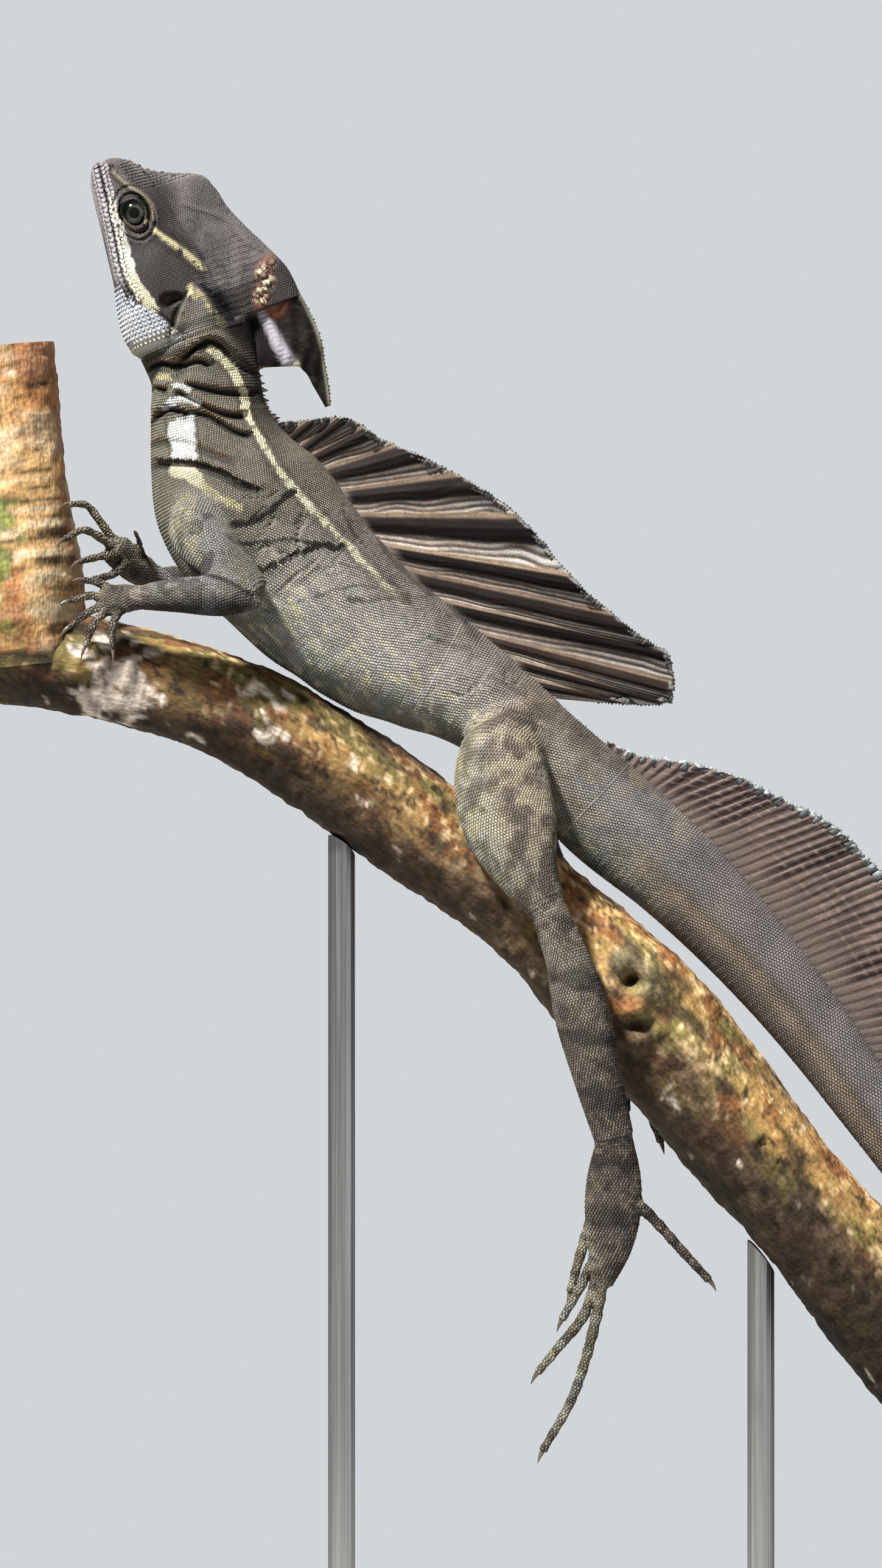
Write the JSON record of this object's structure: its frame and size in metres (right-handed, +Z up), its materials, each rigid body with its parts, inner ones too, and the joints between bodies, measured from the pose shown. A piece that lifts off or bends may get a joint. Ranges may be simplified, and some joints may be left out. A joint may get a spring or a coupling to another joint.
{
  "type": "common basilisk lizard on a display perch",
  "caption": "Life-size adult male common basilisk with raised back and tail crests, gripping a cut length of branch held by a stand.",
  "frame": {"origin": "middle of the stand base's underside", "axes": "+Z up, the animal lies in the XZ plane with its head towards -X and its left side towards -Y"},
  "size_m": [0.3314, 0.2, 0.6087],
  "materials": {
    "skin": "dry scaled skin, olive brown with pale stripes and dark bars",
    "crest_membrane": "thin pleated skin over bony rays, cream ridges and brown valleys",
    "eye": "wet dark eye with a brown-green iris",
    "bark": "flaking bark, orange and cream, with lichen and moss",
    "base_wood": "dark stained board, satin",
    "rod_steel": "satin steel rod"
  },
  "bodies": {
    "root": {"head": "skin", "lower_jaw": "skin", "eye_left": "eye", "eye_right": "eye", "head_crest": "crest_membrane", "neck": "skin", "torso": "skin", "dorsal_crest": "crest_membrane", "tail_base": "skin", "tail_middle": "skin", "tail_end": "skin", "tail_crest": "crest_membrane", "upper_arm_left": "skin", "forearm_left": "skin", "hand_left": "skin", "upper_arm_right": "skin", "forearm_right": "skin", "hand_right": "skin", "thigh_left": "skin", "shank_left": "skin", "foot_left": "skin", "thigh_right": "skin", "shank_right": "skin", "foot_right": "skin", "perch_branch": "bark", "stand_base": "base_wood", "stand_rod_front": "rod_steel", "stand_rod_rear": "rod_steel"}
  },
  "joints": []
}
